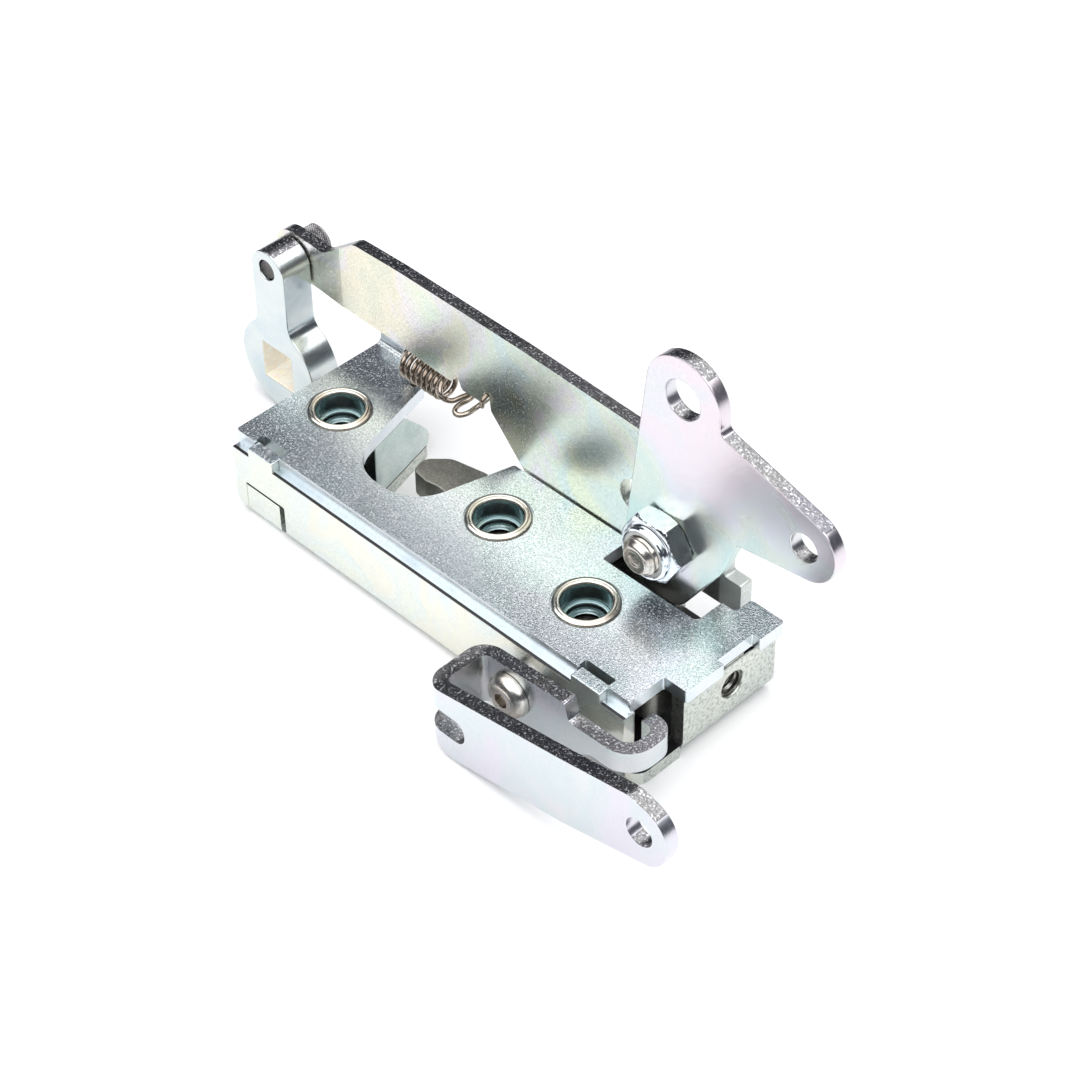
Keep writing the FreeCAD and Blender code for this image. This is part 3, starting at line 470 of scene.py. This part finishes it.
tappedStart = (0.0537, 0.005, 0.00995)
tappedMiddle = (0.0551, 0.005, 0.00995)
tappedLength = 2.2
tappedLook = {"axis": "x", "ringMm": 0.5, "cloudMm": 3, "marks": 0.15, "rough": 0.3, "bump": 0.4,
              "centre": tappedMiddle, "tints": ["#85837f", "#a3a4a0"]}
tappedRows = [(3.01, 0), (3.01, tappedLength), (2.52, tappedLength), (2.52, 0)]
tappedRidge = {"radius": 2.52, "low": 0.0, "high": tappedLength, "pitch": 1.0, "starts": 1,
               "depth": 0.45}
tappedThread = {"step": 0.1, "cuts": [tappedRidge]}
thread = turnedPiece("flange_thread_tapped", "housing", tappedStart, "x", tappedRows,
                     tappedThread, [turnedSteel("tappedZincThread", tappedLook)])

# bushes: riveted into the plates, with a rolled rim and an M8 thread below the bore

bushLook = {"axis": "z", "ringMm": 0.45, "cloudMm": 5, "marks": 0.18, "rough": 0.20, "bump": 0.5,
            "tints": ["#c4b8aa", "#d8d2c8", "#e2e0d8"]}
boreLook = {"axis": "z", "ringMm": 0.5, "cloudMm": 4, "marks": 0.2, "rough": 0.24, "bump": 0.6,
            "tints": ["#8ea3a6", "#a9bbbc", "#bccbca"]}
# the thread deep below the bore is painted near-black: painted shade in the hole
threadShadeLook = {"axis": "z", "ringMm": 0.5, "cloudMm": 3, "marks": 0.3, "rough": 0.3, "bump": 0.6,
              "tints": ["#3a3235", "#5a5250", "#4a4242"]}
bushRows = [(5.8, 0), (5.8, 3.0), (7.0, 3.0), (7.0, 16.0), (5.8, 16.0), (5.8, 18.5), (6.65, 18.5),
            (6.65, 18.85), (6.58, 19.1), (6.45, 19.3), (6.25, 19.42), (6.05, 19.45), (5.93, 19.36),
            (5.85, 19.34), (5.76, 19.42), (5.6, 19.54), (5.4, 19.55), (5.2, 19.46), (5.03, 19.28),
            (4.91, 19.0), (4.85, 18.6), (4.85, 15.25), (4.78, 15.02), (4.45, 15.0), (4.22, 14.9),
            (4.12, 14.6), (4.06, 13.9), (3.85, 13.5), (3.33, 12.9), (3.33, 0)]
bushRidge = {"radius": 3.33, "low": 0.2, "high": 12.9, "pitch": 1.25, "starts": 1, "depth": 0.55}
bushThread = {"step": 0.15, "zones": [(4.95, 19.2), (3.4, 13.4)], "cuts": [bushRidge]}
for node in ("mount_bush", "rotor_bush", "pawl_bush"):
    middle = centreOf(node)
    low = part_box(node)[0]
    steels = [turnedSteel(title + node, dict(look, centre=tuple(middle)))
              for title, look in (("rolledZincRim_", bushLook), ("turnedZincBore_", boreLook),
                                  ("paintedShadeThread_", threadShadeLook))]
    foot = (middle[0], middle[1], low[2])
    piece = turnedPiece(node + "_turned", "housing", foot, "z", bushRows, bushThread, steels)
    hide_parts(node)
print("bushes done")

# the stud and its lock nut

studLow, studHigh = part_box("pivot_stud")
studCentre = centreOf("pivot_stud")
studLength = (studHigh[1] - studLow[1]) / mm
studLook = {"axis": "y", "ringMm": 0.7, "cloudMm": 4, "marks": 0.14, "rough": 0.25, "bump": 0.3,
            "centre": tuple(studCentre), "tints": ["#b3a79c", "#cfc9c0", "#dedbd6"]}
studRows = [(0, 0.35), (1.1, 0.3), (1.5, 0.05), (2.6, 0.0), (2.95, 0.15), (3.98, 1.25),
            (3.98, studLength - 4.0), (3.25, studLength - 4.0), (3.25, studLength - 0.9),
            (4.55, studLength - 0.9), (4.55, studLength - 0.4), (4.2, studLength), (0, studLength)]
studRidge = {"radius": 3.98, "low": 1.0, "high": 11.0, "pitch": 1.25, "starts": 1, "depth": -0.5}
studThread = {"step": 0.16, "cuts": [studRidge]}
stud = turnedPiece("pivot_stud_threaded", "housing", (studCentre[0], studLow[1], studCentre[2]),
                   "y", studRows, studThread, [turnedSteel("threadedStainlessRod", studLook)])
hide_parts("pivot_stud")

nutLow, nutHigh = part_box("lock_nut")
nutCentre = centreOf("lock_nut")
nutLength = (nutHigh[1] - nutLow[1]) / mm
hexFront = nutLength - 4.6
nutLook = {"axis": "y", "ringMm": 1.2, "cloudMm": 3, "marks": 0.05, "rough": 0.09, "bump": 0.12,
           "centre": tuple(nutCentre), "tints": ["#cdd4da", "#dfe3e6", "#c8d0d8"]}
nutRows = [(4.02, nutLength), (6.4, nutLength), (7.6, nutLength - 0.6, 6.5),
           (7.6, hexFront + 1.0, 6.5), (7.1, hexFront + 0.45, 6.5), (6.4, hexFront + 0.1, 6.5),
           (5.9, hexFront), (5.7, hexFront - 0.15), (5.7, 0.75), (5.62, 0.4), (5.4, 0.15),
           (5.05, 0.02), (4.9, 0.1), (4.9, hexFront), (4.02, hexFront)]
nutFacets = {"step": 0.3, "crease": 0.45}
nut = turnedPiece("lock_nut_turned", "housing", (nutCentre[0], nutLow[1], nutCentre[2]), "y",
                  nutRows, nutFacets, [turnedSteel("brightZincNut", nutLook)], sides=144)
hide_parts("lock_nut")
print("stud and nut done")

# the link's pin, with a knurled head behind the eye

pinLow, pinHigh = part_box("link_pin")
pinCentre = centreOf("link_pin")
pinLength = (pinHigh[1] - pinLow[1]) / mm
headFront = pinLength - 4.4
pinLook = {"axis": "y", "ringMm": 0.5, "cloudMm": 3, "marks": 0.2, "rough": 0.28, "bump": 0.3,
           "centre": tuple(pinCentre), "tints": ["#3f3e3e", "#5a5856", "#6b6967"]}
headLook = dict(pinLook, tints=["#77757a", "#8c8a8c", "#a09e9e"])
pinRows = [(0, 0.1), (1.7, 0.08), (2.0, 0.0), (2.25, 0.3), (2.25, headFront), (3.4, headFront),
           (3.84, headFront + 0.35), (3.84, pinLength - 0.4), (3.4, pinLength), (0, pinLength)]
pinRidges = {"radius": 3.84, "low": headFront + 0.3, "high": pinLength - 0.3, "pitch": 0.6,
             "starts": 40, "depth": -0.3, "crossed": True}
pinKnurl = {"step": 0.08, "zones": [(2.3, headFront + 0.1)], "cuts": [pinRidges]}
pinSteels = [turnedSteel("knurledSteelHead", headLook), turnedSteel("oiledSteelPin", pinLook)]
pin = turnedPiece("link_pin_knurled", "link", (pinCentre[0], pinLow[1], pinCentre[2]), "y",
                  pinRows, pinKnurl, pinSteels, sides=320)
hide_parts("link_pin")
print("pin done")

# the extension spring: its left hook stays on the plate and its right hook is on the link.
# This copy keeps the CAD coils where they stand, on no body, and does not open with the link

springLook = {"axis": "x", "ringMm": 1.4, "cloudMm": 6, "marks": 0.10, "rough": 0.22, "bump": 0.1,
              "centre": tuple(centreOf("link_spring")), "tints": ["#85786a", "#a3968a", "#c0b6aa"],
              "coilStart": (-0.0416, 0.0158, 0.0244), "coilEnd": (-0.0306, 0.0158, 0.0244)}
springMesh = nodes["link_spring"].data.copy()
springMesh.materials.clear()
coils = bmesh.new()
coils.from_mesh(springMesh)
bmesh.ops.remove_doubles(coils, verts=coils.verts, dist=weld)
coils.to_mesh(springMesh)
coils.free()
springMesh.shade_smooth()
springMesh.materials.append(turnedSteel("drawnStainlessLinkSpring", springLook))
spring = bpy.data.objects.new("link_spring_drawn", springMesh)
bpy.context.scene.collection.objects.link(spring)
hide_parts("link_spring")
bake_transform(spring)
print("spring done")

# plain turned pieces keep their CAD shape. The nylon ring takes the same faint rings, with
# no metal in it: moulded nylon is pale and soft to the eye

spacerLook = {"axis": "z", "ringMm": 0.6, "cloudMm": 5, "marks": 0.2, "rough": 0.35, "bump": 0.4,
              "tints": ["#6a6b6b", "#838483"]}
coilLook = {"axis": "z", "ringMm": 0.6, "cloudMm": 3, "marks": 0.4, "rough": 0.3, "bump": 0.6,
            "tints": ["#5f564c", "#877c70"]}
plainLooks = {
    "lever_screw": {"name": "turnedStainlessScrew", "axis": "y", "ringMm": 0.7, "cloudMm": 4,
                    "marks": 0.10, "rough": 0.26, "bump": 0.3,
                    "tints": ["#b5aca2", "#cdc8c0", "#d8d4ce"]},
    "lever_bush": {"name": "turnedSteelLeverBush", "axis": "y", "ringMm": 0.5, "cloudMm": 4,
                   "marks": 0.2, "rough": 0.3, "bump": 0.4, "tints": ["#9a9a98", "#b5b5b2"]},
    "stud_washer": {"name": "zincPlatedWasher", "axis": "y", "ringMm": 0.6, "cloudMm": 5,
                    "marks": 0.15, "rough": 0.3, "bump": 0.3, "tints": ["#c2c8ca", "#d5dadb"]},
    "rotor_spacer": dict(spacerLook, name="turnedSteelClawSpacer"),
    "pawl_spacer": dict(spacerLook, name="turnedSteelPawlSpacer"),
    "rotor_stop": {"name": "groundSteelStopPin", "axis": "z", "ringMm": 0.5, "cloudMm": 4,
                   "marks": 0.2, "rough": 0.3, "bump": 0.4, "tints": ["#7f7f7d", "#9a9a97"]},
    "rotor_spring": dict(coilLook, name="drawnSteelClawSpring"),
    "pawl_spring": dict(coilLook, name="drawnSteelPawlSpring"),
    "nut_insert": {"name": "mouldedNylonRing", "axis": "y", "ringMm": 0.8, "cloudMm": 2,
                   "marks": 0.05, "rough": 0.45, "bump": 0.2, "metal": 0.0,
                   "tints": ["#c9ccca", "#dcdedb"]},
}
for node, look in plainLooks.items():
    finish = turnedSteel(look["name"], dict(look, centre=tuple(centreOf(node))))
    nodes[node].data.materials.clear()
    nodes[node].data.materials.append(finish)
print("materials done")

# plain pale floor

floorLook = {"half": 3.0, "colour": "#ffffff", "rough": 0.9}
floorMesh = bpy.data.meshes.new("floor")
half = floorLook["half"]
floorCorners = [(-half, -half, 0), (half, -half, 0), (half, half, 0), (-half, half, 0)]
floorMesh.from_pydata(floorCorners, [], [(0, 1, 2, 3)])
floor = bpy.data.objects.new("floor", floorMesh)
bpy.context.scene.collection.objects.link(floor)
floorPaint = bpy.data.materials.new("mattWhitePaper")
floorPaint.use_nodes = True
floorShader = floorPaint.node_tree.nodes["Principled BSDF"]
floorShader.inputs["Base Color"].default_value = linear(floorLook["colour"])
floorShader.inputs["Roughness"].default_value = floorLook["rough"]
floor.data.materials.append(floorPaint)

# soft studio light

roomLook = {"colour": "#c9d3ea", "strength": 0.12}
world = bpy.data.worlds.new("studio")
bpy.context.scene.world = world
world.use_nodes = True
room = world.node_tree.nodes["Background"]
room.inputs["Color"].default_value = linear(roomLook["colour"])
room.inputs["Strength"].default_value = roomLook["strength"]

# one wide soft box overhead. Its two far edges stand where the plates' mirror direction
# leaves it, so that the plates darken towards the rear left
overheadLook = {"place": (0.085, -0.185, 0.5), "turn": 135, "size": (1.12, 1.4), "watts": 10.8}
overheadLamp = bpy.data.lights.new("overheadLight", "AREA")
overheadLamp.shape = "RECTANGLE"
overheadLamp.size, overheadLamp.size_y = overheadLook["size"]
overheadLamp.energy = overheadLook["watts"]
overhead = bpy.data.objects.new("overheadLight", overheadLamp)
bpy.context.scene.collection.objects.link(overhead)
overhead.location = overheadLook["place"]
overhead.rotation_euler = (0, 0, math.radians(overheadLook["turn"]))
bpy.context.scene.view_settings.view_transform = "Standard"

# camera at the photograph's angle

# the photograph is 1080 px wide and its focal length is 2830.4 px
filmWidth = 36
cameraLook = {"lens": 2830.4 / 1080 * filmWidth, "place": (0.29511, -0.27604, 0.38378),
              "right": (0.70559, 0.70851, -0.01277), "up": (-0.47256, 0.48389, 0.73657),
              "back": (0.52805, -0.51368, 0.67624)}
cameraData = bpy.data.cameras.new("camera")
cameraData.lens = cameraLook["lens"]
cameraData.sensor_width = filmWidth
camera = bpy.data.objects.new("camera", cameraData)
bpy.context.scene.collection.objects.link(camera)
turn = Matrix((cameraLook["right"], cameraLook["up"], cameraLook["back"])).transposed().to_4x4()
camera.matrix_world = Matrix.Translation(cameraLook["place"]) @ turn
bpy.context.scene.camera = camera

print("scene done")
